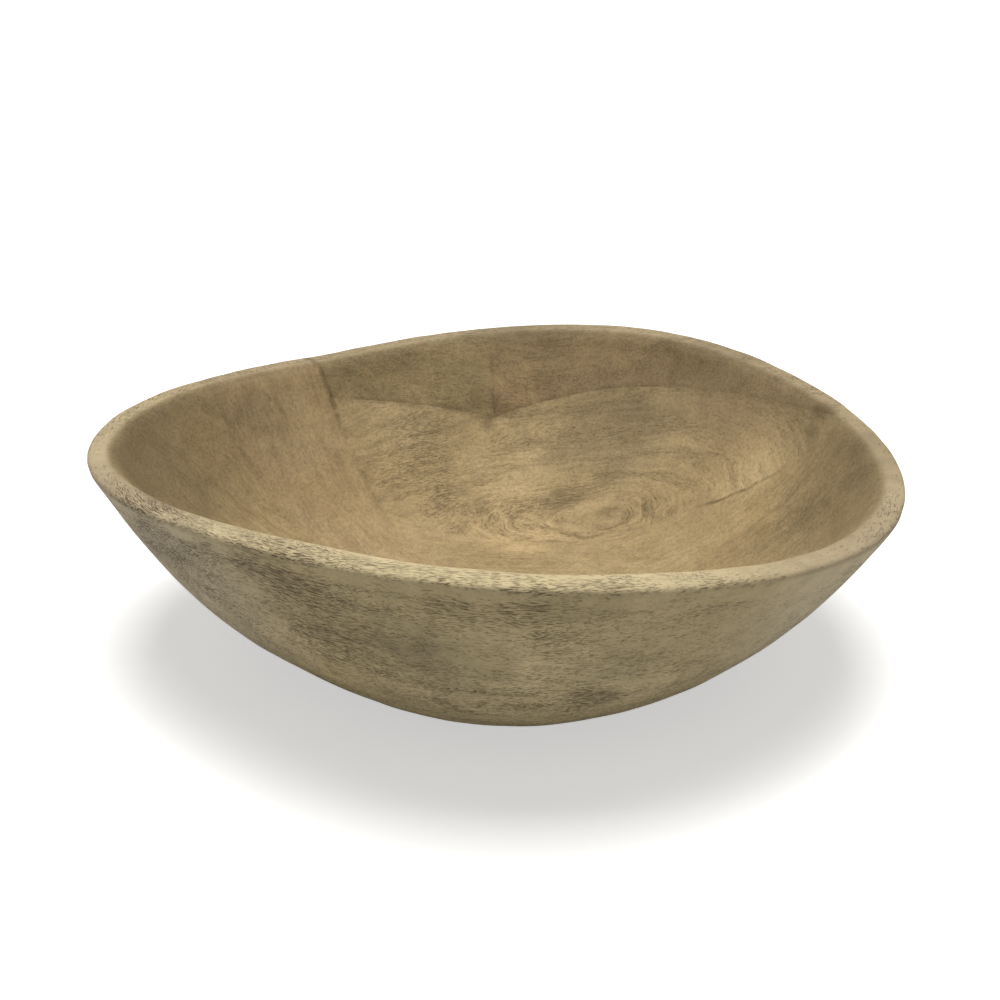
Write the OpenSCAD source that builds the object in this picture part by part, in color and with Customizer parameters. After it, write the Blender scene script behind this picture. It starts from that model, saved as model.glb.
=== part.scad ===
// Carved wooden dough bowl: five blocks glued into one blank, then hollowed and rounded by hand.
// Millimetres, +Z up. The origin is on the table under the middle of the bowl, +X is its long way
// and +Y points to the back, where two more blocks build up the rim.

/* [Bowl] */
// overall length, along X
bowl_length = 360; // [300:1:440]
// overall width, along Y
bowl_width = 335; // [290:1:420]
// height of the highest point of the rim
bowl_height = 117; // [105:1:150]
// length of the flat foot that the bowl stands on
foot_length = 111; // [80:1:140]
// how hard the wall curls up: 1 is a straight cone, and more stands steeper at the rim
wall_curve = 2.45; // [1.9:0.05:3]

/* [Wall] */
// mean thickness of the wall across the rim
rim_thickness = 15; // [11:0.5:20]
// how much thicker the wall is on two opposite sides of the rim, and thinner between them
rim_swell = 1.5; // [0:0.5:3]
// direction of one of the thicker sides, from +X
rim_swell_at = 90; // [0:5:180]
// radius of the two rounded edges of the rim
rim_round = 4.5; // [2:0.5:5]
// thickness of the floor over the foot
floor_thickness = 15; // [11:1:24]
// length of the flat part of the floor inside
floor_length = 112; // [80:1:140]

/* [Rim line] */
// how far the three-sided wander of the rim swells out, seen from above
three_lobe = 5.3; // [0:0.1:9]
// direction of one of its three swells, from +X
three_lobe_at = 67; // [0:1:120]
// how far the four-sided wander of the rim swells out, seen from above
four_lobe = 5.6; // [0:0.1:9]
// direction of one of its four swells, from +X
four_lobe_at = -5; // [-45:1:45]
// how far the rim tilts up to one side
rim_tilt = 5.9; // [0:0.1:8]
// direction of the raised side, from +X
rim_tilt_at = -123; // [-180:1:180]
// how far two opposite stretches of the rim rise
rim_saddle = 5.8; // [0:0.1:8]
// direction of one of the two raised stretches, from +X
rim_saddle_at = 67; // [0:1:180]
// how far three stretches of the rim rise
rim_ripple = 3.3; // [0:0.1:5]
// direction of one of the three raised stretches, from +X
rim_ripple_at = 34; // [0:1:120]

/* [Floor seams] */
// distance of the left corner of the floor seam from the middle, along X
left_corner_x = 58; // [40:1:80]
// distance of the left corner of the floor seam behind the middle
left_corner_y = 74; // [60:1:85]
// distance of the right corner of the floor seam from the middle, along X
right_corner_x = 90; // [70:1:110]
// distance of the right corner of the floor seam behind the middle
right_corner_y = 60; // [45:1:75]
// angle of the seam that runs from the right corner out through the rim
right_seam_angle = 24.5; // [15:0.5:35]

/* [Left plank] */
// angle of the inner edge of the plank, which runs back through the left corner
plank_inner_angle = 44; // [36:1:52]
// angle of the outer edge of the plank
plank_outer_angle = 28; // [20:1:34]
// how far the plank runs past the left corner into the front board
plank_run = 45; // [25:1:60]
// width of the plank at its end
plank_end_width = 34; // [24:1:44]

/* [Rim blocks] */
// distance of the butt joint between the two rim blocks from the middle, along X
butt_x = -2; // [-20:1:20]
// distance of the middle of that joint behind the middle of the bowl
butt_y = 139; // [125:1:150]
// angle that the joint is turned from straight back
butt_turn = 8; // [-15:1:15]
// depth of the seat of the rim blocks under the rim, at their joint
seat_depth = 40; // [30:1:46]
// slope that the seat rises with, to the left of the joint
seat_left_slope = 14.5; // [8:0.5:18]
// slope that the seat rises with, to the right of the joint
seat_right_slope = 15; // [8:0.5:18]

/* [Hidden] */

// Wood tones of the blocks
straw = [0.74, 0.67, 0.51];
pale_pink = [0.77, 0.67, 0.55];
honey = [0.69, 0.60, 0.44];
olive = [0.62, 0.56, 0.42];
russet = [0.65, 0.55, 0.43];

// Facets: stations round the rim, steps up each face of the wall, steps in each rounded edge
stations = 84;
wall_steps = 10;
round_steps = 3;

// Reach of the cutting solids outside the bowl
beyond = bowl_length;

function station_angle(i) = 360 * i / stations;
function from(point, angle, distance) = point + distance * [cos(angle), sin(angle)];
function middle(values) = (min(values) + max(values)) / 2;
function extent(values) = max(values) - min(values);
function fitted(value, values, size) = (value - middle(values)) * size / extent(values);

// Rim seen from above: a wandering circle, fitted to the overall length and width
mean_radius = (bowl_length + bowl_width) / 4;
function wander(a) =
    mean_radius + three_lobe * cos(3 * (a - three_lobe_at)) + four_lobe * cos(4 * (a - four_lobe_at));
wander_x = [for (i = [0 : stations - 1]) wander(station_angle(i)) * cos(station_angle(i))];
wander_y = [for (i = [0 : stations - 1]) wander(station_angle(i)) * sin(station_angle(i))];
rim_plan = [
    for (i = [0 : stations - 1])
        [fitted(wander_x[i], wander_x, bowl_length), fitted(wander_y[i], wander_y, bowl_width)]
];

// Rim seen from the side: a slow wave that touches the overall height
function wave(a) =
    rim_tilt * cos(a - rim_tilt_at)
    + rim_saddle * cos(2 * (a - rim_saddle_at))
    + rim_ripple * cos(3 * (a - rim_ripple_at));
highest_wave = max([for (i = [0 : stations - 1]) wave(station_angle(i))]);
function rim_top(a) = bowl_height - highest_wave + wave(a);
function rim_height(i) = rim_top(station_angle(i));

// Rounding of the rim, which leaves a flat on top even where the wall is thinnest
edge_share = 0.4;
edge_round = min(rim_round, edge_share * (rim_thickness - rim_swell));

// Distances from the axis at one station. The sharp corner of the wall lies a little outside
// the overall outline, because rounding the rim takes that much off.
function rim_reach(i) = norm(rim_plan[i]);
function foot_reach(i) = rim_reach(i) * foot_length / bowl_length;
function floor_reach(i) = rim_reach(i) * floor_length / bowl_length;
function lean(i) = (rim_reach(i) - foot_reach(i)) / (rim_height(i) * wall_curve);
function corner_reach(i) = rim_reach(i) + edge_round * (1 + lean(i) - norm([1, lean(i)]));
function outer_reach(i, z) =
    foot_reach(i) + (corner_reach(i) - foot_reach(i)) * pow(z / rim_height(i), 1 / wall_curve);
function thickness(i) = rim_thickness + rim_swell * cos(2 * (station_angle(i) - rim_swell_at));
function inner_reach(i, z) =
    floor_reach(i) + (corner_reach(i) - thickness(i) - floor_reach(i))
    * pow((z - floor_thickness) / (rim_height(i) - floor_thickness), 1 / wall_curve);

// Profile of one station as [distance from the axis, height], from the foot over the rim to the floor
function rise(k) = pow(k / wall_steps, wall_curve);
function round_drop(k) = edge_round * (1 - sin(90 * k / round_steps));
function round_inset(k) = edge_round * (1 - cos(90 * k / round_steps));
function profile(i) =
    let (top = rim_height(i), shoulder = top - edge_round)
    concat(
        [for (k = [0 : wall_steps]) let (z = shoulder * rise(k)) [outer_reach(i, z), z]],
        [for (k = [1 : round_steps]) let (z = top - round_drop(k)) [outer_reach(i, z) - round_inset(k), z]],
        [for (k = [round_steps : -1 : 1]) let (z = top - round_drop(k)) [inner_reach(i, z) + round_inset(k), z]],
        [
            for (k = [wall_steps : -1 : 0])
                let (z = floor_thickness + (shoulder - floor_thickness) * rise(k))
                [inner_reach(i, z), z]
        ]
    );
rings = 2 * (wall_steps + round_steps + 1);
skin_points = [
    for (i = [0 : stations - 1], p = profile(i))
        [p.x * rim_plan[i].x / rim_reach(i), p.x * rim_plan[i].y / rim_reach(i), p.y]
];

// Skin of the bowl: a band of triangles between neighbouring stations, closed by the foot and the floor
function at(i, ring) = (i % stations) * rings + ring;
skin_faces = concat(
    [[for (i = [0 : stations - 1]) at(i, 0)]],
    [[for (i = [stations - 1 : -1 : 0]) at(i, rings - 1)]],
    [for (i = [0 : stations - 1], k = [0 : rings - 2]) [at(i, k), at(i, k + 1), at(i + 1, k)]],
    [for (i = [0 : stations - 1], k = [0 : rings - 2]) [at(i + 1, k), at(i, k + 1), at(i + 1, k + 1)]]
);

// Corners of the seams, seen from above
left_corner = [-left_corner_x, left_corner_y];
right_corner = [right_corner_x, right_corner_y];
plank_end_inner = from(left_corner, -plank_inner_angle, plank_run);
plank_end_outer = from(plank_end_inner, -90 - plank_inner_angle, plank_end_width);
plank_far_inner = from(left_corner, 180 - plank_inner_angle, beyond);
plank_far_outer = from(plank_end_outer, 180 - plank_outer_angle, beyond);
right_far = from(right_corner, -right_seam_angle, beyond);

// Height of the seat of the rim blocks, hung from the rim above their joint
seat_height = rim_top(atan2(butt_y, butt_x)) - seat_depth;

// Whole bowl, before it is divided along its glue lines
module bowl() {
    polyhedron(skin_points, skin_faces, convexity = 4);
}

// Standing prism over a plan, taller than the bowl
module standing(plan) {
    translate([0, 0, -bowl_height])
        linear_extrude(3 * bowl_height)
            polygon(plan);
}

// Everything behind the floor seam
module behind_floor_seam() {
    standing([
        plank_far_inner,
        left_corner,
        right_corner,
        right_far,
        [right_far.x, beyond],
        [plank_far_inner.x, beyond]
    ]);
}

// The slot that the left plank fills
module plank_slot() {
    standing([plank_far_inner, plank_end_inner, plank_end_outer, plank_far_outer]);
}

// Everything above the shallow valley that the rim blocks are seated in
module above_seat() {
    translate([butt_x, butt_y, seat_height])
        rotate([90, 0, butt_turn])
            linear_extrude(4 * beyond, center = true)
                polygon([
                    [0, 0],
                    [beyond, beyond * tan(seat_right_slope)],
                    [beyond, beyond],
                    [-beyond, beyond],
                    [-beyond, beyond * tan(seat_left_slope)]
                ]);
}

// Everything to the left of the butt joint between the rim blocks
module left_of_butt() {
    translate([butt_x, butt_y, 0])
        rotate(butt_turn)
            translate([-2 * beyond, -beyond, -bowl_height])
                cube([2 * beyond, 2 * beyond, 3 * bowl_height]);
}

// Front wall, both ends and most of the floor
module front_board() {
    color(straw)
        difference() {
            bowl();
            behind_floor_seam();
            plank_slot();
        }
}

// Slanting plank at the back left
module left_plank() {
    color(pale_pink)
        intersection() {
            bowl();
            plank_slot();
        }
}

// Back of the floor and lower back wall
module centre_board() {
    color(honey)
        difference() {
            intersection() {
                bowl();
                behind_floor_seam();
            }
            above_seat();
        }
}

// Rim block between the left plank and the butt joint
module back_left_block() {
    color(olive)
        intersection() {
            bowl();
            behind_floor_seam();
            above_seat();
            left_of_butt();
        }
}

// Rim block to the right of the butt joint
module back_right_block() {
    color(russet)
        difference() {
            intersection() {
                bowl();
                behind_floor_seam();
                above_seat();
            }
            left_of_butt();
        }
}

front_board();
left_plank();
centre_board();
back_left_block();
back_right_block();
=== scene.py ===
"""Dough bowl: five blocks of bleached wood, glued into one blank and carved by hand."""
import math

import bmesh
import bpy
import numpy as np
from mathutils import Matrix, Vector


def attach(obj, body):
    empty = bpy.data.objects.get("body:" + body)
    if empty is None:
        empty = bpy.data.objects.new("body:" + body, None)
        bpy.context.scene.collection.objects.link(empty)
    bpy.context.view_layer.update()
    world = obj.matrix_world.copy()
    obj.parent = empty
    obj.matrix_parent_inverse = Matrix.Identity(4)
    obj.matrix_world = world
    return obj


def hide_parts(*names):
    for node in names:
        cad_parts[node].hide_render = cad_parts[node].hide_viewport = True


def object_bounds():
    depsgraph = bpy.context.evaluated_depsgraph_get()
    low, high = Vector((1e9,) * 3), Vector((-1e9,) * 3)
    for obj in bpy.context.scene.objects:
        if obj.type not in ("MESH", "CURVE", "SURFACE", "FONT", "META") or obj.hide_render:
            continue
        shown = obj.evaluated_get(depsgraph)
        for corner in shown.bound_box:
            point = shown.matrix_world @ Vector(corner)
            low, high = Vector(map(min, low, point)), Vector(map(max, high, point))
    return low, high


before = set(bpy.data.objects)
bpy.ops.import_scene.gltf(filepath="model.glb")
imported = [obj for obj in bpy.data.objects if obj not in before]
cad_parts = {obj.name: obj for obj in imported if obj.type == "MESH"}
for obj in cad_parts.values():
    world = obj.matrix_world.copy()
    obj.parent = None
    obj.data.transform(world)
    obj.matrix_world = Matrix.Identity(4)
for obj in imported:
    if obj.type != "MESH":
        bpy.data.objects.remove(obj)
cad_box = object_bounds()

MM = 0.001

# Shape of the bowl, in millimetres and degrees, as in the CAD model
BOWL_LENGTH, BOWL_WIDTH, BOWL_HEIGHT = [(hi - lo) / MM for lo, hi in zip(*cad_box)]
FOOT_LENGTH = 111
FLOOR_LENGTH = 112
FLOOR_THICKNESS = 15
WALL_CURVE = 2.45
RIM_THICKNESS = 15
RIM_ROUND = 4.5

# Swells of the rim's thickness, its plan and its height: how many around the bowl, size and direction
RIM_SWELL = (2, 1.5, 90)
LOBES = [(3, 5.3, 67), (4, 5.6, -5)]
WAVES = [(1, 5.9, -123), (2, 5.8, 67), (3, 3.3, 34)]

# Glue lines, in millimetres and degrees, as in the CAD model
LEFT_CORNER = np.array([-58.0, 74.0])
RIGHT_CORNER = np.array([90.0, 60.0])
RIGHT_SEAM_ANGLE = 24.5
PLANK_INNER_ANGLE = 44
PLANK_OUTER_ANGLE = 28
PLANK_RUN = 45
PLANK_END_WIDTH = 34
BUTT = np.array([-2.0, 139.0])
BUTT_TURN = 8
SEAT_DEPTH = 40
SEAT_LEFT_SLOPE = 14.5
SEAT_RIGHT_SLOPE = 15

# Fineness of the carved skin
STATIONS = 480
WALL_STEPS = 84
ROUND_STEPS = 9
DISC_STEPS = 10

# Dents of the carving: wavelength, depth in millimetres and seed
DENTS = [(95, 0.55, 11), (38, 0.32, 12), (13, 0.13, 13)]
DENT_WAVES = 24
DENT_SPREAD = (0.7, 1.5)  # shortest and longest wave, as shares of the wavelength
DENT_FREE_HEIGHT = 8  # millimetres above the table in which the dents fade out

# Zones of the rim that the wood needs, in millimetres
SHOULDER = (2, 4, 7, 10)  # drop under the rim where the rubbed shoulder starts, is full, fades and ends
FRONT_ENDS = (-120, -40)  # along Y, where the front of the rim ends and where its back begins
# Inwards of the pale share of the rim lies the lip, which gets painted shade
PALE_WIDTH = (1.3, 0.88)  # share of the rim's width that is pale, at the front and at the back
PALE_FADE = 0.2  # share of the rim's width over which that ends

# Ways in the bowl's frame, and ways along and across the grain in a board's own frame
RIGHT, AHEAD, UP = (1, 0, 0), (0, -1, 0), (0, 0, 1)
ALONG_GRAIN = (1, 0, 0)
ACROSS_GRAIN = (0, 0.6, 0.8)


def srgb(red, green, blue):
    """Linear colour of an 8-bit screen colour."""
    return tuple(((c / 255 + 0.055) / 1.055) ** 2.4 for c in (red, green, blue)) + (1.0,)


def even(size):
    """The same size along all three axes."""
    return (size, size, size)


def heading(angle):
    """Unit vector of a plan angle in degrees."""
    return np.array([math.cos(math.radians(angle)), math.sin(math.radians(angle))])


def harmonics(angle, terms):
    """Sum of cosine swells at plan angles in radians."""
    return sum(size * np.cos(k * (angle - math.radians(at))) for k, size, at in terms)


# Shape of the carved skin


class Bowl:
    """Rim line and wall of the bowl at evenly turned stations, in millimetres."""

    def __init__(self, stations):
        angle = np.arange(stations) * 2 * math.pi / stations
        radius = (BOWL_LENGTH + BOWL_WIDTH) / 4 + harmonics(angle, LOBES)
        x, y = radius * np.cos(angle), radius * np.sin(angle)
        self.plan = np.stack([self.fitted(x, BOWL_LENGTH), self.fitted(y, BOWL_WIDTH)], -1)
        self.reach = np.hypot(*self.plan.T)
        self.towards = self.plan / self.reach[:, None]
        self.bearing = np.unwrap(np.arctan2(self.plan[:, 1], self.plan[:, 0]))
        self.thickness = RIM_THICKNESS + harmonics(angle, [RIM_SWELL])
        wave = harmonics(angle, WAVES)
        self.top = BOWL_HEIGHT - wave.max() + wave
        self.foot = self.reach * FOOT_LENGTH / BOWL_LENGTH
        self.floor = self.reach * FLOOR_LENGTH / BOWL_LENGTH
        lean = (self.reach - self.foot) / (self.top * WALL_CURVE)
        self.corner = self.reach + RIM_ROUND * (1 + lean - np.hypot(1, lean))

    @staticmethod
    def fitted(values, size):
        return (values - (values.min() + values.max()) / 2) * size / np.ptp(values)

    def outer(self, z):
        return self.foot + (self.corner - self.foot) * (z / self.top) ** (1 / WALL_CURVE)

    def inner(self, z):
        share = (z - FLOOR_THICKNESS) / (self.top - FLOOR_THICKNESS)
        return self.floor + (self.corner - self.thickness - self.floor) * share ** (1 / WALL_CURVE)

    def rings(self):
        """Rings of points from the middle of the foot over the rim to the middle of the floor."""
        disc = np.arange(1, DISC_STEPS) / DISC_STEPS
        rise = (np.arange(WALL_STEPS + 1) / WALL_STEPS) ** WALL_CURVE
        turn = np.arange(1, ROUND_STEPS + 1) / ROUND_STEPS * math.pi / 2
        edge = list(zip(RIM_ROUND * (1 - np.sin(turn)), RIM_ROUND * (1 - np.cos(turn))))
        shoulder = self.top - RIM_ROUND
        ground = np.zeros_like(self.top)
        found = [(self.foot * s, ground) for s in disc]
        found += [(self.outer(shoulder * r), shoulder * r) for r in rise]
        found += [(self.outer(self.top - drop) - inset, self.top - drop) for drop, inset in edge]
        found += [(self.inner(self.top - drop) + inset, self.top - drop) for drop, inset in edge[::-1]]
        levels = [FLOOR_THICKNESS + (shoulder - FLOOR_THICKNESS) * r for r in rise[::-1]]
        found += [(self.inner(z), z) for z in levels]
        found += [(self.floor * s, ground + FLOOR_THICKNESS) for s in disc[::-1]]
        return np.array([np.column_stack([self.towards * reach[:, None], z]) for reach, z in found])


def ripple(points, wavelength, seed):
    """Smooth unevenness between 0 and 1, from seeded waves in all directions."""
    draw = np.random.default_rng(seed)
    way = draw.normal(size=(DENT_WAVES, 3))
    way /= np.linalg.norm(way, axis=1)[:, None]
    length = wavelength * draw.uniform(*DENT_SPREAD, DENT_WAVES)
    phase = draw.uniform(0, 2 * math.pi, DENT_WAVES)
    total = np.sin(points @ (way * (2 * math.pi / length)[:, None]).T + phase).sum(1)
    return 0.5 + 0.5 * np.tanh(total / math.sqrt(DENT_WAVES / 2))


def carved(rings):
    """The rings with the shallow dents that gouge and sanding leave, all cut into the wood."""
    around = np.roll(rings, -1, 1) - np.roll(rings, 1, 1)
    along = np.gradient(rings, axis=0)
    normal = np.cross(around, along)
    normal /= np.linalg.norm(normal, axis=2)[..., None]
    points = rings.reshape(-1, 3)
    dent = sum(depth * ripple(points, wavelength, seed) for wavelength, depth, seed in DENTS)
    clear_of_foot = np.clip(points[:, 2] / DENT_FREE_HEIGHT, 0, 1)
    dent = (dent * clear_of_foot).reshape(rings.shape[:2])
    return rings - normal * dent[..., None]


def skin_mesh(bowl):
    """Closed skin of the whole bowl as a bmesh, in metres."""
    rings = carved(bowl.rings()) * MM
    count, stations = rings.shape[:2]
    bm = bmesh.new()
    verts = [[bm.verts.new(p) for p in ring] for ring in rings]
    foot = bm.verts.new((0, 0, 0))
    floor = bm.verts.new((0, 0, rings[-1, :, 2].mean()))
    for i in range(stations):
        j = (i + 1) % stations
        bm.faces.new((foot, verts[0][j], verts[0][i]))
        bm.faces.new((floor, verts[-1][i], verts[-1][j]))
        for k in range(count - 1):
            bm.faces.new((verts[k][i], verts[k][j], verts[k + 1][j], verts[k + 1][i]))
    return bm


# Glue lines


class Plane:
    """Flat seam: a point on it and its unit normal, in millimetres."""

    def __init__(self, point, normal):
        self.point, self.normal = np.array(point, float), np.array(normal, float)

    def distance(self, points):
        return (points - self.point) @ self.normal


def upright_seams():
    """Ends of each upright glue line, seen from above; the middle of the bowl's back is on its left."""
    plank_end = LEFT_CORNER + PLANK_RUN * heading(-PLANK_INNER_ANGLE)
    plank_corner = plank_end + PLANK_END_WIDTH * heading(-90 - PLANK_INNER_ANGLE)
    return {
        "plank_inner": (LEFT_CORNER - BOWL_LENGTH * heading(-PLANK_INNER_ANGLE), plank_end),
        "plank_outer": (plank_corner - BOWL_LENGTH * heading(-PLANK_OUTER_ANGLE), plank_corner),
        "plank_end": (plank_corner, plank_end),
        "floor": (LEFT_CORNER, RIGHT_CORNER),
        "right": (RIGHT_CORNER, RIGHT_CORNER + BOWL_LENGTH * heading(-RIGHT_SEAM_ANGLE)),
    }


def seam_planes(bowl):
    """Plane of each seam by name; its positive side is on the left, or above the seat."""
    planes = {}
    for name, (start, end) in upright_seams().items():
        along = (end - start) / np.linalg.norm(end - start)
        planes[name] = Plane((*start, 0), (-along[1], along[0], 0))
    along = heading(BUTT_TURN)
    rim_over_butt = np.interp(math.atan2(BUTT[1], BUTT[0]), bowl.bearing, bowl.top)
    valley = (*BUTT, rim_over_butt - SEAT_DEPTH)
    for name, slope in (("seat_left", -SEAT_LEFT_SLOPE), ("seat_right", SEAT_RIGHT_SLOPE)):
        run, rise = heading(slope)
        planes[name] = Plane(valley, (*(-rise * along), run))
    planes["butt"] = Plane(valley, (*-along, 0))
    return planes


def boards_of(points, planes):
    """Name of the board that holds each point."""
    side = {name: plane.distance(points) > 0 for name, plane in planes.items()}
    behind = side["plank_inner"] & (side["floor"] | side["right"])
    slot = ~side["plank_inner"] & side["plank_outer"] & side["plank_end"]
    seated = behind & side["seat_left"] & side["seat_right"]
    names = np.where(behind, "centre_board", "front_board").astype(object)
    names[slot] = "left_plank"
    names[seated & side["butt"]] = "back_left_block"
    names[seated & ~side["butt"]] = "back_right_block"
    return names


# Cutting the skin into closed boards

ON_PLANE = 0.004  # millimetres
CUT_TOLERANCE = 1e-7  # metres


def split_skin(bm, planes):
    """Cuts the faces of the whole skin along every seam."""
    for plane in planes.values():
        geometry = bm.verts[:] + bm.edges[:] + bm.faces[:]
        point, normal = Vector(plane.point * MM), Vector(plane.normal)
        bmesh.ops.bisect_plane(bm, geom=geometry, dist=CUT_TOLERANCE, plane_co=point, plane_no=normal)


def close_on(bm, plane_name, planes):
    """Fills a board's cut face on one seam, joining the ends of its open edges at the corners."""
    bm.verts.index_update()
    co = np.array([v.co for v in bm.verts]) / MM
    on = {name: np.abs(p.distance(co)) < ON_PLANE for name, p in planes.items()}
    here = on[plane_name]
    edges = [e for e in bm.edges if len(e.link_faces) < 2 and all(here[v.index] for v in e.verts)]
    uses = {}
    for edge in edges:
        for vert in edge.verts:
            uses[vert] = uses.get(vert, 0) + 1
    corners = {}
    for vert in (v for v, n in uses.items() if n == 1):
        met = tuple(name for name in planes if name != plane_name and on[name][vert.index])
        corners.setdefault(met, []).append(vert)
    for pair in corners.values():
        edge = bm.edges.get(pair) or bm.edges.new(pair)
        if edge not in edges:
            edges.append(edge)
    if edges:
        bmesh.ops.triangle_fill(bm, use_beauty=True, edges=edges)


def board_mesh(skin, name, names, planes):
    """One board as a closed mesh, cut from the whole skin."""
    bm = skin.copy()
    bm.faces.ensure_lookup_table()
    others = [bm.faces[i] for i in np.flatnonzero(names != name)]
    bmesh.ops.delete(bm, geom=others, context="FACES")
    skin_faces = set(bm.faces)
    for plane_name in planes:
        close_on(bm, plane_name, planes)
    bmesh.ops.recalc_face_normals(bm, faces=bm.faces[:])
    for face in bm.faces:
        face.smooth = face in skin_faces
    for edge in bm.edges:
        edge.smooth = len({f in skin_faces for f in edge.link_faces}) < 2
    mesh = bpy.data.meshes.new(name + "_carved")
    bm.to_mesh(mesh)
    bm.free()
    return mesh


def share_inside(co, bowl):
    """How far each point lies through the wall, from 0 outside to 1 inside, and its drop under the rim."""
    bearing = np.arctan2(co[:, 1], co[:, 0])
    reach = np.hypot(co[:, 0], co[:, 1])
    turns = np.concatenate([bowl.bearing - 2 * math.pi, bowl.bearing, bowl.bearing + 2 * math.pi])

    def here(values):
        return np.interp(bearing, turns, np.tile(values, 3))

    top, foot, floor = here(bowl.top), here(bowl.foot), here(bowl.floor)
    corner, thickness = here(bowl.corner), here(bowl.thickness)
    z = np.minimum(co[:, 2], top)
    outer = foot + (corner - foot) * (z / top) ** (1 / WALL_CURVE)
    depth = np.maximum(z - FLOOR_THICKNESS, 0) / (top - FLOOR_THICKNESS)
    inner = floor + (corner - thickness - floor) * depth ** (1 / WALL_CURVE)
    inside = np.clip((outer - reach) / (outer - inner), 0, 1)
    inside[co[:, 2] < FLOOR_THICKNESS / 2] = 0
    return inside, top - co[:, 2]


def add_sides(mesh, bowl):
    """Stores on each point, for the wood, how far it is inside, on the rim, its lip, which gets painted
    shade, and its shoulder.
    """
    co = np.array([v.co for v in mesh.vertices]) / MM
    inside, drop = share_inside(co, bowl)
    edge = np.clip(1 - drop / RIM_ROUND, 0, 1)
    pale = np.clip((np.interp(co[:, 1], FRONT_ENDS, PALE_WIDTH) - inside) / PALE_FADE, 0, 1)
    sides = {
        "inside": inside,
        "rim": edge * pale,
        "lip": edge * (1 - pale),
        "shoulder": np.interp(drop, SHOULDER, (0, 1, 1, 0)) * (inside < 0.5),
    }
    for name, values in sides.items():
        layer = mesh.attributes.new(name, "FLOAT", "POINT")
        layer.data.foreach_set("value", values.astype(np.float32))


# Shader building


class Tree:
    """Builds a shader tree from short calls; most give back an output socket."""

    def __init__(self, owner):
        owner.use_nodes = True
        self.nodes, self.links = owner.node_tree.nodes, owner.node_tree.links
        self.nodes.clear()

    def fill(self, socket, value):
        if isinstance(value, bpy.types.NodeSocket):
            self.links.new(value, socket)
        else:
            socket.default_value = value

    def node(self, kind, inputs=(), **settings):
        made = self.nodes.new("ShaderNode" + kind)
        for key, value in settings.items():
            setattr(made, key, value)
        for key, value in dict(inputs).items():
            self.fill(made.inputs[key], value)
        return made

    def math(self, operation, *values):
        return self.node("Math", enumerate(values), operation=operation).outputs[0]

    def vector(self, operation, *values):
        made = self.node("VectorMath", operation=operation)
        sockets = [made.inputs[0], made.inputs["Scale" if operation == "SCALE" else 1]]
        for socket, value in zip(sockets, values):
            self.fill(socket, value)
        return made.outputs["Value" if operation in ("DOT_PRODUCT", "LENGTH") else "Vector"]

    def along(self, vector, way):
        """Part of a vector along a way."""
        return self.vector("DOT_PRODUCT", vector, way)

    def joined(self, x, y, z):
        """Vector of three amounts."""
        return self.node("CombineXYZ", {"X": x, "Y": y, "Z": z}).outputs[0]

    def ramp(self, value, low, high, to_low=0.0, to_high=1.0, kind="SMOOTHSTEP"):
        """The value, taken from one range to another and held at its ends."""
        inputs = {"Value": value, "From Min": low, "From Max": high, "To Min": to_low, "To Max": to_high}
        return self.node("MapRange", inputs, interpolation_type=kind).outputs["Result"]

    def noise(self, vector, cell, detail=2.0, roughness=0.6, output="Fac"):
        """Noise whose cells have the given size in millimetres along each axis."""
        place = self.vector("DIVIDE", vector, cell)
        inputs = {"Vector": place, "Scale": 1.0, "Detail": detail, "Roughness": roughness}
        return self.node("TexNoise", inputs).outputs[output]

    def shifted(self, vector, cell, shift):
        """The vector, pushed about by noise up to about half the given shift."""
        push = self.noise(vector, cell, roughness=0.5, output="Color")
        push = self.vector("SUBTRACT", push, even(0.5))
        return self.vector("ADD", vector, self.vector("MULTIPLY", push, shift))

    def mix(self, factor, first, second, blend="MIX"):
        """Mixture of two colours."""
        inputs = {0: factor, 6: first, 7: second}
        return self.node("Mix", inputs, data_type="RGBA", blend_type=blend).outputs[2]

    def mix_amounts(self, factor, first, second):
        """Mixture of two amounts."""
        return self.node("Mix", {0: factor, 2: first, 3: second}).outputs[0]

    def mix_places(self, factor, first, second):
        """Mixture of two vectors."""
        return self.node("Mix", {0: factor, 4: first, 5: second}, data_type="VECTOR").outputs[1]

    def attribute(self, name):
        return self.node("Attribute", attribute_name=name).outputs["Fac"]


# Wood

PORE = srgb(70, 56, 35)
GLUE = srgb(84, 70, 46)
OUTSIDE_WASH = srgb(187, 171, 131)
GREY_WASH = srgb(206, 194, 168)
# Pale wash of the rim, also used as painted light on the low belly
RIM_WASH_AND_BELLY_LIGHT = srgb(226, 208, 164)
DULL_RIM = srgb(168, 149, 118)
WORN_FLOOR = srgb(182, 158, 116)
FILM = srgb(180, 157, 116)
# Painted shade, partly grime, high on the side walls; painted shade on the lip inside the rim
SHADE_AND_GRIME = srgb(122, 105, 75)
# Painted shade for the back wall
SHADED = srgb(162, 141, 106)
DUSK = (0.56, 0.55, 0.53, 1)

# How much of the colour under it each layer covers
WASH_COVER = 0.7
RIM_COVER = 0.85
# The lip layer is painted shade
LIP_COVER = 0.7
FILM_COVER = 0.5
SOFT_COVER = 0.3
WORN_COVER = 0.8

# Sizes of the pattern in millimetres: along and across the fibres
PORE_PATCH = (50, 8)
SOFT_STREAK = (32, 2.6)
STREAK = (12, 0.55)
PORE_CELL = (6, 0.45)
HAIR = (6, 0.6)
HAIR_BREAK = (3.5, 0.9)

# Sizes of the pattern in millimetres: along the three axes
CLOUD = (60, 60, 40)
FILM_CLOUD = even(34)
RUBBED_PATCH = even(26)
BLOTCH = even(9)
GLUE_WEAR = even(8)
MOTTLE = even(1.5)

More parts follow.
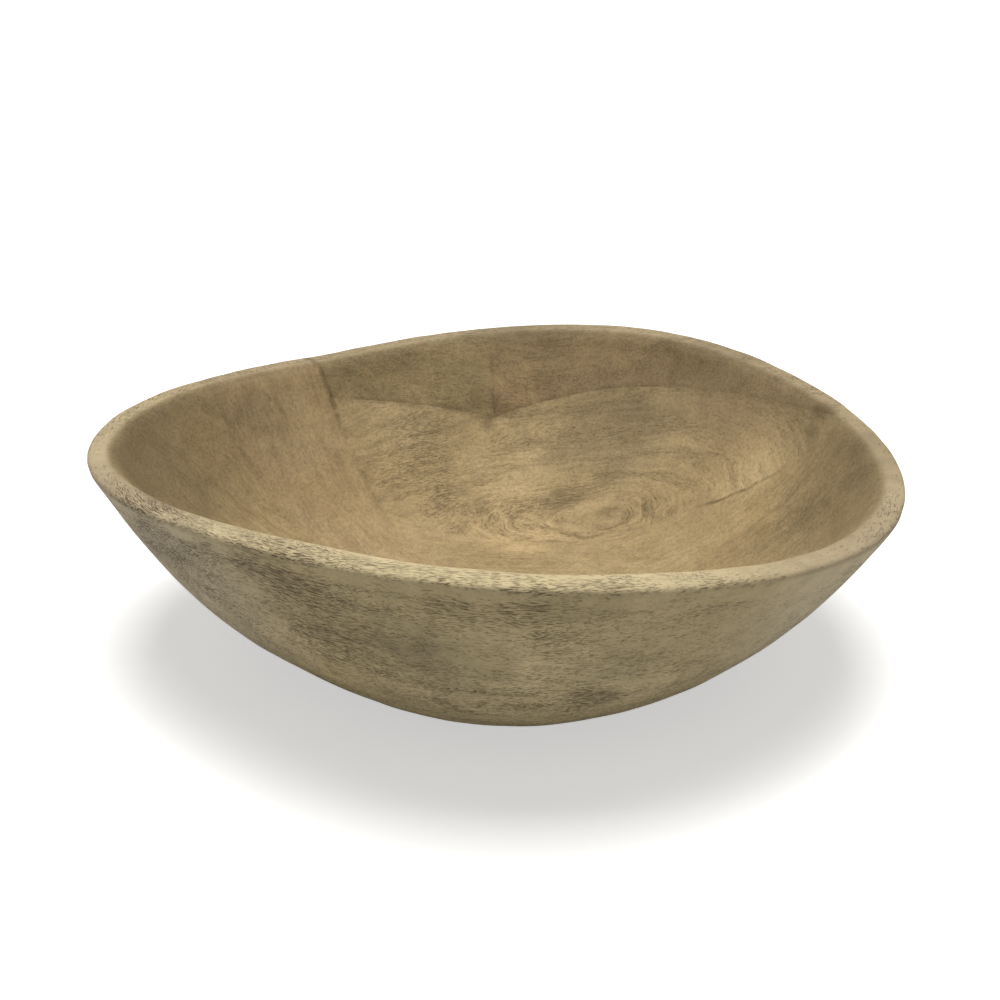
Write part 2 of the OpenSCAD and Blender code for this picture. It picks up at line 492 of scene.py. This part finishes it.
# Noise that pushes places about, in millimetres: size of its cells and shift, along the three axes
GRAIN_WAVE = ((110, 45, 45), (0, 14, 14))
RING_WAVE = ((30, 14, 14), (0, 12, 0))
CURL_WAVE = ((30, 14, 14), (0, 9, 0))
RIM_WAVE = ((60, 25, 25), (0, 10, 10))
DASH_WAVE = ((10, 4, 4), (0, 1.0, 1.0))
HAIR_WAVE = ((10, 4, 4), (0, 0.7, 0.7))
PATCH_WAVE = (even(20), even(20))
TONE_WAVE = (even(22), even(26))
SEAM_WAVE = (even(9), even(2.0))
SMUDGE_WAVE = (even(6), even(6))

# Ranges over which each noise turns into its pattern
CLOUD_RANGE = (0.38, 0.64)
FILM_RANGE = (0.42, 0.68)
RING_RANGE = (0.42, 0.58)
SOFT_RANGE = (0.42, 0.66)
STREAK_RANGE = (0.36, 0.64)
MOTTLE_RANGE = (0.38, 0.68)
BLOTCH_RANGE = (0.3, 0.7)
RUBBED_RANGE = (0.4, 0.6)
GLUE_WEAR_RANGE = (0.36, 0.6)
ROUGHNESS_RANGE = (0.3, 0.7)

# Shares of the way through the wall where the wood turns from its outside look to its inside look, and
# where fibres stop following the rim
INSIDE_RANGE = (0.5, 0.95)
FOLLOW_RANGE = (0.88, 0.96)

# Growth rings: size of their noise along and around them, how many ring widths they take to fade, and
# what is left of them then
RING_LENGTH = 60
RING_TURN = 40
RING_FADE = 7
RING_REST = 0.3

# Open pores: how dark they are outside and inside, on the rim and as hair-thin lines
PORE_DEPTH = (0.85, 0.44)
RIM_PORE_DEPTH = 0.95
HAIR_DEPTH = 0.55

# Change of the share of open pores: on growth rings outside and inside, and where the rim's shoulder is
# rubbed least and most
RING_PORES = (0.35, 0.6)
RUBBED_PORES = (-0.15, -0.6)

# Dashes of open pores, in cells: their reach where all pores are open, and the width of their soft edge
DASH_REACH = 0.5
DASH_EDGE = 0.07

# Hair-thin lines, as values of their noise: core and edge of a line, what breaks lines where no pores and
# where all pores are open, and the soft ends at a break
HAIR_WIDTH = (0.03, 0.075)
HAIR_BROKEN = (0.70, 0.34)
HAIR_ENDS = (-0.02, 0.04)

# Darkening between the pores: range of the share of open pores, darkness of the streaks over that range,
# darkness of the mottle outside and inside, and what is left of both on the rim
OPEN_RANGE = (0.2, 1.0)
STREAK_DUSK = (0.05, 0.38)
MOTTLE_DUSK = (0.2, 0.42)
RIM_DUSK = 0.25

# Where the figure of the centre board is level and where it curls, in millimetres along X, how far the
# level fibres are flattened along Y and how strong the growth rings stay among them
OVAL_STARTS = (-30, 5)
LEVEL_SHEET = 0.15
LEVEL_RINGS = 0.4

# Reach of the worn floor on both sides of the floor seam, in millimetres: where it starts to fade and ends
WORN_REACH = (5, 45)

# Relief of the wood: height of the fine streaks as a share of the pores' depth, and that depth
STREAK_RELIEF = 0.12
PORE_RELIEF = 0.3 * MM
RELIEF_STRENGTH = 0.7
ROUGHNESS = (0.76, 0.9)
SHEEN = 0.25

# Each board: turn of its grain in degrees and place of its pith, how far its fibres are flattened into
# upright sheets, how far they are drawn out where they curl around the pith (0: they run straight) and
# whether they follow the rim outside, how far its growth rings are drawn out along the grain, their width
# and tone, its share of open pores outside and inside, its colours and the seams around it
BOARDS = {
    "front_board": dict(
        grain=(0, 0, 0), pith=(22, -122, 48), sheet=0.12, curl=0, follows_rim=True,
        drawn_out=3.0, ring=4, ring_tone=0.4, pores=(0.5, 0.22),
        pale=srgb(188, 166, 125), tint=srgb(178, 155, 113), deep=srgb(138, 119, 85),
        seams=("plank_outer", "right"),
    ),
    "left_plank": dict(
        grain=(0, 6, -38), pith=(-40, 30, -60), sheet=0.12, curl=0, follows_rim=False,
        drawn_out=12.0, ring=7, ring_tone=0.3, pores=(0.4, 0.14),
        pale=srgb(184, 161, 122), tint=srgb(175, 151, 112), deep=srgb(146, 123, 90),
        seams=("plank_inner", "plank_outer"),
    ),
    "centre_board": dict(
        grain=(0, -4, -6), pith=(82, 78, 18), sheet=0.12, curl=5, follows_rim=False,
        drawn_out=4.2, ring=6, ring_tone=0.5, pores=(0.4, 0.3),
        pale=srgb(198, 176, 134), tint=srgb(184, 162, 121), deep=srgb(128, 111, 80),
        seams=("plank_inner", "right", "seat"),
    ),
    "back_left_block": dict(
        grain=(0, 3, 12), pith=(-60, 220, 10), sheet=1.0, curl=0, follows_rim=False,
        drawn_out=8.0, ring=6, ring_tone=0.4, pores=(0.4, 0.35),
        pale=srgb(168, 148, 109), tint=srgb(156, 138, 100), deep=srgb(122, 107, 76),
        seams=("plank_inner", "seat", "butt"),
    ),
    "back_right_block": dict(
        grain=(0, -4, -6), pith=(60, 200, 30), sheet=1.0, curl=0, follows_rim=False,
        drawn_out=6.0, ring=6, ring_tone=0.4, pores=(0.4, 0.35),
        pale=srgb(154, 133, 99), tint=srgb(144, 122, 89), deep=srgb(112, 94, 68),
        seams=("right", "seat", "butt"),
    ),
}

# Each visible glue line: half its width in millimetres, its darkness, and darker stretches given by
# centre, reach and added darkness
GLUE_LINES = {
    "plank_inner": (2.6, 0.05, [((-88, 102, 92), 44, 0.5), ((-65, 79, 40), 20, 0.25)]),
    "plank_outer": (2.6, 0.08, [((-122, 52, 68), 45, 0.2)]),
    "right": (1.2, 0.0, [((118, 51, 55), 36, 0.6)]),
    "seat": (2.2, 0.14, [((-40, 121, 66), 55, 0.25), ((50, 130, 72), 45, 0.10)]),
    "butt": (2.0, 0.12, [((-4, 131, 62), 22, 0.15)]),
}
GLUE_CORE = 0.15  # share of that half width that is fully dark
GLUE_REST = 0.25  # share of the darkness that is left where the line is most worn

# Soft spots of the wood, in millimetres: each has a centre, a reach and an amount
SPOT_CORE = 0.3  # share of the reach that has the full amount

# Places where more or fewer pores stay open
PORE_PATCHES = [
    ((-126, -94, 95), 42, 0.20),  # outside, left
    ((-79, -130, 92), 46, 0.18),  # outside, left of the front
    ((-94, -110, 79), 24, -0.25),  # outside, rubbed gap between those two and the next
    ((-60, -123, 63), 34, 0.20),  # outside, low on the left
    ((-15, -161, 102), 18, 0.26),  # under the front of the rim
    ((8, -165, 105), 13, 0.32),  # under the front of the rim
    ((-165, -25, 104), 38, -0.35),  # left end of the rim
    ((-140, -72, 108), 20, 0.20),  # rim, front left
    ((-80, -142, 112), 32, 0.24),  # rim, front left
    ((-139, -75, 88), 28, 0.25),  # outside, left end
    ((175, -5, 98), 70, -0.35),  # right end
    ((42, -158, 118), 18, 0.30),  # rim, right of the front
    ((55, -158, 98), 40, -0.15),  # outside, under that stretch
    ((0, -152, 80), 26, -0.20),  # outside, front
    ((23, -156, 87), 14, 0.10),  # outside, front
    ((37, -130, 47), 15, 0.50),  # outside, low on the front
    ((112, -119, 85), 50, -0.35),  # outside, right
    ((-40, 100, 44), 40, 0.46),  # back wall, left
    ((-18, 87, 25), 22, 0.36),  # foot of the back wall, left
    ((100, 45, 36), 34, -0.35),  # floor, right
    ((146, 7, 63), 24, 0.55),  # right wall
    ((-46, 72, 22), 26, -0.30),  # floor, at the left plank
    ((59, 78, 27), 14, -0.70),  # middle of the oval figure
]

# Dark smudges
SMUDGES = [
    ((155, 41, 100), 9, 0.5),  # end of the right seam, under the rim
    ((151, 37, 88), 7, 0.3),  # below that one
    ((-4, 127, 57), 6, 0.4),  # foot of the butt joint
    ((-7, 133, 66), 14, 0.2),  # left side of the butt joint
]

# Stretches high on the inner side walls painted darker: painted shade, partly grime
WALL_SHADE_AND_GRIME = [
    ((-160, 15, 95), 85, 0.75),  # left
    ((165, -5, 90), 75, 0.5),  # right
]

# Stretches of the rim that are rubbed pale
PALE_RIM = [
    ((-20, -165, 112), 170, 0.8),  # front
    ((-175, 10, 105), 70, 0.25),  # left end
]

# Stretch of the low belly painted paler: painted light from the floor below
PAINTED_BELLY_LIGHT = [
    ((20, -125, 32), 90, 1.0),
]

# Stretches high on the inner back wall, at the right, painted in a shaded tone that also hides the seam
# between two boards
SHADE_OVER_SEAM = [
    ((128, 88, 94), 62, 0.9),
    ((66, 127, 80), 40, 0.45),
]

# Ends of the bowl where the wash outside is greyer
GREY_ENDS = [
    ((-150, -70, 80), 110, 0.8),
    ((150, -80, 70), 100, 0.7),
]

# Stretches where the colour is made paler or darker
TONES = [
    ((14, 78, 18), 34, 0.36),  # back of the floor
    ((-5, 104, 36), 36, 0.14),  # foot of the back wall
    ((64, 114, 60), 40, -0.26),  # back wall, right
    ((127, 48, 60), 36, 0.22),  # wall at the right seam
    ((11, 138, 73), 16, 0.24),  # right side of the butt joint
    ((5, 165, 108), 34, -0.26),  # back of the rim
    ((-147, 42, 87), 28, 0.22),  # left wall, behind
    ((-113, 75, 82), 26, -0.20),  # upper end of the left plank
    ((-14, -144, 66), 34, -0.25),  # outside, front
    ((44, -142, 66), 30, -0.18),  # outside, right of the front
    ((-70, -108, 50), 38, 0.28),  # outside, low on the left
    ((60, 134, 88), 34, 0.14),  # right rim block
    ((115, 102, 104), 45, -0.15),  # right end of that block
    ((-40, 112, 56), 24, -0.06),  # back wall, left, under the seat
    ((178, 0, 97), 38, -0.16),  # right end of the rim
    ((144, 20, 67), 30, 0.08),  # right wall
    ((118, 76, 76), 42, 0.13),  # back wall, far right
    ((120, 6, 37), 24, -0.08),  # foot of the right wall
    ((29, 113, 42), 18, -0.10),  # back wall, middle
    ((-48, 96, 44), 26, 0.10),  # back wall, left
    ((40, 148, 96), 30, -0.15),  # right rim block, under the rim
    ((90, 102, 72), 20, -0.08),  # back wall, right, under the seat
    ((34, -165, 108), 26, -0.10),  # outside, under the front of the rim
    ((82, -132, 74), 36, -0.08),  # outside, right
    ((-33, -140, 80), 28, -0.16),  # outside, left of the front
    ((-110, -78, 52), 26, 0.10),  # outside, low at the left end
    ((-148, 2, 72), 28, 0.09),  # left wall
]
BLOTCH_TONE = 0.07  # change of tone by small blotches


def spots(tree, place, listed, base=0.0):
    """A base amount and the listed soft spots on it."""
    total = base
    for centre, reach, amount in listed:
        away = tree.vector("LENGTH", tree.vector("SUBTRACT", place, centre))
        total = tree.math("ADD", tree.ramp(away, SPOT_CORE * reach, reach, amount, 0.0), total)
    return total


def away_from_line(tree, place, start, end):
    """Distance in plan from an upright glue line between two points."""
    run = end - start
    from_start = tree.vector("MULTIPLY", tree.vector("SUBTRACT", place, (*start, 0)), (1, 1, 0))
    share = tree.along(from_start, (*(run / (run @ run)), 0))
    on_line = tree.vector("SCALE", (*run, 0), tree.ramp(share, 0, 1, kind="LINEAR"))
    return tree.vector("LENGTH", tree.vector("SUBTRACT", from_start, on_line))


def height_over(tree, place, plane):
    """Signed distance from a plane."""
    return tree.along(tree.vector("SUBTRACT", place, tuple(plane.point)), tuple(plane.normal))


def away_from_seam(tree, place, name, planes):
    """Distance from a seam."""
    lines = upright_seams()
    if name in lines:
        return away_from_line(tree, place, *lines[name])
    if name == "butt":
        return tree.math("ABSOLUTE", height_over(tree, place, planes["butt"]))
    sides = [height_over(tree, place, planes[side]) for side in ("seat_left", "seat_right")]
    return tree.math("ABSOLUTE", tree.math("MINIMUM", *sides))


def glue_lines(tree, place, names, planes):
    """Dark, uneven lines along the named seams."""
    unsteady = tree.shifted(place, *SEAM_WAVE)
    dark = 0.0
    for name in names:
        width, tone, stretches = GLUE_LINES[name]
        away = away_from_seam(tree, unsteady, name, planes)
        line = tree.ramp(away, GLUE_CORE * width, width, 1.0, 0.0)
        line = tree.math("MULTIPLY", line, spots(tree, place, stretches, tone))
        dark = tree.math("MAXIMUM", line, dark)
    worn = tree.ramp(tree.noise(place, GLUE_WEAR, detail=3.0), *GLUE_WEAR_RANGE, GLUE_REST, 1.0)
    return tree.math("MULTIPLY", dark, worn)


def grain_frame(tree, place, look):
    """Places along and across the grain of a board, from its pith."""
    turn = [math.radians(a) for a in look["grain"]]
    inputs = {"Vector": place, "Location": look["pith"], "Rotation": turn}
    board = tree.node("Mapping", inputs, vector_type="TEXTURE").outputs[0]
    return tree.shifted(board, *GRAIN_WAVE)


def ring_frame(tree, fibre, drawn_out):
    """Distance from the pith, and places along, across and around rings drawn out along the grain."""
    radius = tree.vector("LENGTH", tree.vector("DIVIDE", fibre, (drawn_out, 1, 1)))
    along, around = tree.along(fibre, ALONG_GRAIN), tree.along(fibre, ACROSS_GRAIN)
    return radius, tree.joined(along, radius, around)


def growth_rings(tree, fibre, look):
    """Dark rings around the pith that fade with the distance from it."""
    radius, places = ring_frame(tree, fibre, look["drawn_out"])
    loose = tree.shifted(places, *RING_WAVE)
    width = look["ring"]
    layers = tree.noise(loose, (RING_LENGTH, width, RING_TURN), detail=4.0, roughness=0.62)
    left = tree.ramp(radius, width, RING_FADE * width, 1.0, RING_REST)
    return tree.math("MULTIPLY", tree.ramp(layers, *RING_RANGE), left)


def around_frame(tree, place):
    """Places around the bowl, out from its middle and above the table."""
    turn = tree.math("ARCTAN2", tree.along(place, RIGHT), tree.along(place, AHEAD))
    around = tree.math("MULTIPLY", turn, BOWL_WIDTH / 2)
    out = tree.vector("LENGTH", tree.vector("MULTIPLY", place, (1, 1, 0)))
    return tree.shifted(tree.joined(around, out, tree.along(place, UP)), *RIM_WAVE)


def strands(tree, fibres, size, detail):
    """Noise drawn out along the fibres."""
    length, width = size
    return tree.noise(fibres, (length, width, width), detail)


def dashes(tree, fibres, share):
    """Open pores: short dark dashes along the grain, longer and more of them where more are open."""
    length, width = PORE_CELL
    cells = tree.vector("DIVIDE", tree.shifted(fibres, *DASH_WAVE), (length, width, width))
    away = tree.node("TexVoronoi", {"Vector": cells, "Scale": 1.0}).outputs["Distance"]
    reach = tree.ramp(share, 0, 1, 0.0, DASH_REACH, kind="LINEAR")
    return tree.ramp(tree.math("SUBTRACT", away, reach), -DASH_EDGE, 0.0, 1.0, 0.0)


def pore_lines(tree, fibres, share):
    """Hair-thin dark lines along the grain, more of them where more pores are open."""
    bent = tree.shifted(fibres, *HAIR_WAVE)
    away = tree.math("ABSOLUTE", tree.math("SUBTRACT", strands(tree, bent, HAIR, detail=1.0), 0.5))
    line = tree.ramp(away, *HAIR_WIDTH, 1.0, 0.0)
    broken = tree.ramp(share, 0, 1, *HAIR_BROKEN, kind="LINEAR")
    ends = tree.math("SUBTRACT", strands(tree, bent, HAIR_BREAK, detail=1.0), broken)
    return tree.math("MULTIPLY", line, tree.ramp(ends, *HAIR_ENDS))


class Wood:
    """Bleached wood of one board, built up in layers from its bare colour to its relief."""

    def __init__(self, name, look, planes):
        self.look = look
        self.material = bpy.data.materials.new(name + "_wood")
        self.tree = tree = Tree(self.material)
        self.place = tree.vector("SCALE", tree.node("TexCoord").outputs["Object"], 1 / MM)
        self.inside = tree.ramp(tree.attribute("inside"), *INSIDE_RANGE)
        self.rim = tree.attribute("rim")
        self.fibre = grain_frame(tree, self.place, look)
        self.rings = growth_rings(tree, self.fibre, look)
        found = self.curled_figure() if look["curl"] else self.figure(self.straight_fibres())
        self.soft, self.streak, self.share, lines = found
        pores = tree.math("MULTIPLY", lines, self.pore_depth())
        colour = self.toned(self.dusky(self.washed_with_painted_light(self.bare())))
        colour = tree.mix(pores, colour, PORE)
        colour = tree.mix(spots(tree, tree.shifted(self.place, *SMUDGE_WAVE), SMUDGES), colour, GLUE)
        colour = tree.mix(glue_lines(tree, self.place, look["seams"], planes), colour, GLUE)
        self.finish(colour, pores)

    def by_side(self, outside, inside):
        """An amount that changes from the outside of the bowl to its inside."""
        return self.tree.ramp(self.inside, 0, 1, outside, inside)

    def only_inside(self, amount):
        return self.tree.math("MULTIPLY", amount, self.inside)

    def straight_fibres(self):
        """Places along straight fibres, or along the rim where the board follows it."""
        tree = self.tree
        straight = tree.vector("MULTIPLY", self.fibre, (1, 1, self.look["sheet"]))
        if not self.look["follows_rim"]:
            return straight
        outside = tree.ramp(tree.attribute("inside"), *FOLLOW_RANGE, 1.0, 0.0)
        return tree.mix_places(outside, straight, around_frame(tree, self.place))

    def pore_share(self, fibres):
        """Share of pores that the wash has left open: they gather in patches along the grain."""
        tree = self.tree
        patch = tree.math("SUBTRACT", strands(tree, fibres, PORE_PATCH, detail=3.0), 0.5)
        share = tree.math("ADD", patch, self.by_side(*self.look["pores"]))
        share = tree.math("MULTIPLY_ADD", self.rings, self.by_side(*RING_PORES), share)
        rubbed = tree.noise(self.place, RUBBED_PATCH, detail=3.0)
        rubbed = tree.ramp(rubbed, *RUBBED_RANGE, *RUBBED_PORES)
        share = tree.math("MULTIPLY_ADD", tree.attribute("shoulder"), rubbed, share)
        patches = spots(tree, tree.shifted(self.place, *PATCH_WAVE), PORE_PATCHES)
        return tree.math("ADD", share, patches)

    def figure(self, fibres):
        """Soft streaks, fine streaks, share of open pores and the pores themselves, along the fibres."""
        tree = self.tree
        soft = strands(tree, fibres, SOFT_STREAK, detail=3.0)
        streak = strands(tree, fibres, STREAK, detail=2.0)
        share = self.pore_share(fibres)
        hair = tree.math("MULTIPLY", pore_lines(tree, fibres, share), HAIR_DEPTH)
        return soft, streak, share, tree.math("MAXIMUM", hair, dashes(tree, fibres, share))

    def curled_figure(self):
        """The figure of a board whose fibres curl around the pith and run level to the left of it."""
        tree = self.tree
        places = ring_frame(tree, self.fibre, self.look["curl"])[1]
        curled = tree.vector("MULTIPLY", tree.shifted(places, *CURL_WAVE), (1, 1, self.look["sheet"]))
        level = tree.vector("MULTIPLY", self.fibre, (1, LEVEL_SHEET, 1))
        oval = tree.ramp(tree.along(self.place, RIGHT), *OVAL_STARTS)
        self.rings = tree.math("MULTIPLY", self.rings, tree.ramp(oval, 0, 1, LEVEL_RINGS, 1.0))
        pairs = zip(self.figure(level), self.figure(curled))
        return [tree.mix_amounts(oval, *pair) for pair in pairs]

    def pore_depth(self):
        """How dark the open pores are."""
        on_rim = self.tree.math("MULTIPLY", self.rim, RIM_PORE_DEPTH)
        return self.tree.math("MAXIMUM", self.by_side(*PORE_DEPTH), on_rim)

    def bare(self):
        """Colour of the wood: clouds, growth rings, soft streaks and worn floor, with painted shade over a
        seam high on the back wall and painted shade, partly grime, on the side walls.
        """
        tree, place, look = self.tree, self.place, self.look
        cloud = tree.noise(place, CLOUD, detail=3.0, roughness=0.55)
        film = tree.noise(place, FILM_CLOUD, detail=4.0)
        floor_seam = away_from_line(tree, place, *upright_seams()["floor"])
        worn = self.only_inside(tree.ramp(floor_seam, *WORN_REACH, WORN_COVER, 0.0))
        colour = tree.mix(tree.ramp(cloud, *CLOUD_RANGE), look["pale"], look["tint"])
        colour = tree.mix(worn, colour, WORN_FLOOR)
        colour = tree.mix(tree.ramp(film, *FILM_RANGE, 0.0, FILM_COVER), colour, FILM)
        colour = tree.mix(tree.math("MULTIPLY", self.rings, look["ring_tone"]), colour, look["deep"])
        colour = tree.mix(tree.ramp(self.soft, *SOFT_RANGE, 0.0, SOFT_COVER), colour, look["deep"])
        # Painted shade high on the back wall, over the seam between two boards
        colour = tree.mix(self.only_inside(spots(tree, place, SHADE_OVER_SEAM)), colour, SHADED)
        # Painted shade, partly grime, high on the inner side walls
        return tree.mix(self.only_inside(spots(tree, place, WALL_SHADE_AND_GRIME)), colour, SHADE_AND_GRIME)

    def washed_with_painted_light(self, colour):
        """The colour under the pale wash of the outside and the rim, with painted light on the low belly
        and painted shade on the lip inside the rim.
        """
        tree, place = self.tree, self.place
        wash = tree.mix(spots(tree, place, GREY_ENDS), OUTSIDE_WASH, GREY_WASH)
        # Painted light on the low belly, from the floor below
        wash = tree.mix(spots(tree, place, PAINTED_BELLY_LIGHT), wash, RIM_WASH_AND_BELLY_LIGHT)
        colour = tree.mix(self.by_side(WASH_COVER, 0.0), colour, wash)
        # Painted shade on the lip, the inner part of the rim's rounding, as if that rounding were larger
        colour = tree.mix(tree.math("MULTIPLY", tree.attribute("lip"), LIP_COVER), colour, SHADE_AND_GRIME)
        edge = tree.mix(spots(tree, place, PALE_RIM), DULL_RIM, RIM_WASH_AND_BELLY_LIGHT)
        return tree.mix(tree.math("MULTIPLY", self.rim, RIM_COVER), colour, edge)

    def dusky(self, colour):
        """The colour darkened by fine streaks where pores are open, and by a fine mottle."""
        tree = self.tree
        open_wood = tree.ramp(self.share, *OPEN_RANGE, *STREAK_DUSK)
        streaks = tree.math("MULTIPLY", open_wood, tree.ramp(self.streak, *STREAK_RANGE))
        mottle = tree.ramp(tree.noise(self.place, MOTTLE), *MOTTLE_RANGE)
        mottle = tree.math("MULTIPLY", mottle, self.by_side(*MOTTLE_DUSK))
        dusk = tree.math("ADD", streaks, mottle)
        dusk = tree.math("MULTIPLY", dusk, tree.ramp(self.rim, 0, 1, 1.0, RIM_DUSK))
        return tree.mix(dusk, colour, DUSK, "MULTIPLY")

    def toned(self, colour):
        """The colour with its paler and darker stretches and small blotches."""
        tree = self.tree
        stretches = spots(tree, tree.shifted(self.place, *TONE_WAVE), TONES, 1.0)
        blotch = tree.noise(self.place, BLOTCH, detail=3.0)
        blotch = tree.ramp(blotch, *BLOTCH_RANGE, -BLOTCH_TONE, BLOTCH_TONE)
        return tree.vector("SCALE", colour, tree.math("ADD", stretches, blotch))

    def finish(self, colour, pores):
        """Dull surface with sunken pores and slightly raised streaks."""
        tree = self.tree
        height = tree.math("SUBTRACT", tree.math("MULTIPLY", self.streak, STREAK_RELIEF), pores)
        relief = {"Height": height, "Strength": RELIEF_STRENGTH, "Distance": PORE_RELIEF}
        surface = {
            "Base Color": colour,
            "Roughness": tree.ramp(self.streak, *ROUGHNESS_RANGE, *ROUGHNESS, kind="LINEAR"),
            "Normal": tree.node("Bump", relief).outputs[0],
            "Specular IOR Level": SHEEN,
        }
        tree.node("OutputMaterial", {"Surface": tree.node("BsdfPrincipled", surface).outputs[0]})


# Studio

CAMERA_HEIGHT_ANGLE = 25
CAMERA_TARGET = (2.57, 0, 70.65)  # millimetres
CAMERA_DISTANCE = 686.3  # millimetres
CAMERA_LENS = 54
CAMERA_SENSOR = 36
CAMERA_CLIP = 0.01
LAMP_PLACE = (0, -0.1, 2.2)
LAMP_AIM = (0, 0, 0.06)
LAMP_SIZE = 1.2
LAMP_POWER = 50
FILL = 0.1
WHITE = (1, 1, 1, 1)
PAPER = (0.8, 0.8, 0.79, 1)
FLOOR_REACH = 4.0
GLOW_REACH = (0.3, 1.0)  # metres from the middle over which the floor's glow grows
GLOW = (0.55, 1.0)


def add_camera():
    """Camera at the photograph's angle."""
    data = bpy.data.cameras.new("camera")
    data.lens = CAMERA_LENS
    data.sensor_width = CAMERA_SENSOR
    data.clip_start = CAMERA_CLIP
    camera = bpy.data.objects.new("camera", data)
    bpy.context.scene.collection.objects.link(camera)
    up = math.radians(CAMERA_HEIGHT_ANGLE)
    back = Vector((0, -math.cos(up), math.sin(up)))
    camera.location = (Vector(CAMERA_TARGET) + back * CAMERA_DISTANCE) * MM
    camera.rotation_euler = (math.pi / 2 - up, 0, 0)
    bpy.context.scene.camera = camera


def add_lamp():
    """Soft square lamp overhead that faces the middle of the bowl."""
    data = bpy.data.lights.new("overhead", "AREA")
    data.energy = LAMP_POWER
    data.size = LAMP_SIZE
    lamp = bpy.data.objects.new("overhead", data)
    bpy.context.scene.collection.objects.link(lamp)
    lamp.location = LAMP_PLACE
    lamp.rotation_euler = (Vector(LAMP_AIM) - Vector(LAMP_PLACE)).to_track_quat("-Z", "Y").to_euler()


def seen_directly(tree):
    """1 for what the camera sees, also in a reflection or through glass, and 0 for light on the object."""
    path = tree.node("LightPath")
    seen = tree.math("MAXIMUM", path.outputs["Is Camera Ray"], path.outputs["Is Glossy Ray"])
    return tree.math("MAXIMUM", seen, path.outputs["Is Transmission Ray"])


def add_world():
    """White surroundings with a plain, even fill light."""
    world = bpy.data.worlds.new("studio")
    bpy.context.scene.world = world
    tree = Tree(world)
    strength = tree.ramp(seen_directly(tree), 0, 1, FILL, 1.0, kind="LINEAR")
    shader = tree.node("Background", {"Color": WHITE, "Strength": strength})
    tree.node("OutputWorld", {"Surface": shader.outputs[0]})


def floor_paper():
    """Pale paper that looks white where it is lit and still shows a shadow."""
    material = bpy.data.materials.new("floor_paper")
    tree = Tree(material)
    paper = tree.node("BsdfDiffuse", {"Color": PAPER}).outputs[0]
    away = tree.vector("LENGTH", tree.node("TexCoord").outputs["Object"])
    strength = tree.ramp(away, *GLOW_REACH, *GLOW)
    glow = tree.node("Emission", {"Color": WHITE, "Strength": strength}).outputs[0]
    both = tree.node("AddShader", {0: paper, 1: glow}).outputs[0]
    shader = tree.node("MixShader", {0: seen_directly(tree), 1: paper, 2: both}).outputs[0]
    tree.node("OutputMaterial", {"Surface": shader})
    return material


def add_floor():
    """Plain floor that keeps the bowl's shadow."""
    r = FLOOR_REACH
    mesh = bpy.data.meshes.new("floor")
    mesh.from_pydata([(-r, -r, 0), (r, -r, 0), (r, r, 0), (-r, r, 0)], [], [(0, 1, 2, 3)])
    floor = bpy.data.objects.new("floor", mesh)
    bpy.context.scene.collection.objects.link(floor)
    mesh.materials.append(floor_paper())


def add_boards():
    """The five boards, each in place of its CAD node."""
    bowl = Bowl(STATIONS)
    planes = seam_planes(bowl)
    skin = skin_mesh(bowl)
    split_skin(skin, planes)
    names = boards_of(np.array([f.calc_center_median() for f in skin.faces]) / MM, planes)
    for name, look in BOARDS.items():
        mesh = board_mesh(skin, name, names, planes)
        add_sides(mesh, bowl)
        mesh.materials.append(Wood(name, look, planes).material)
        piece = bpy.data.objects.new(name + "_carved", mesh)
        bpy.context.scene.collection.objects.link(piece)
        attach(piece, "root")
        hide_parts(name)
    skin.free()


def main():
    add_boards()
    bpy.context.scene.view_settings.view_transform = "Standard"
    add_camera()
    add_world()
    add_lamp()
    add_floor()


main()
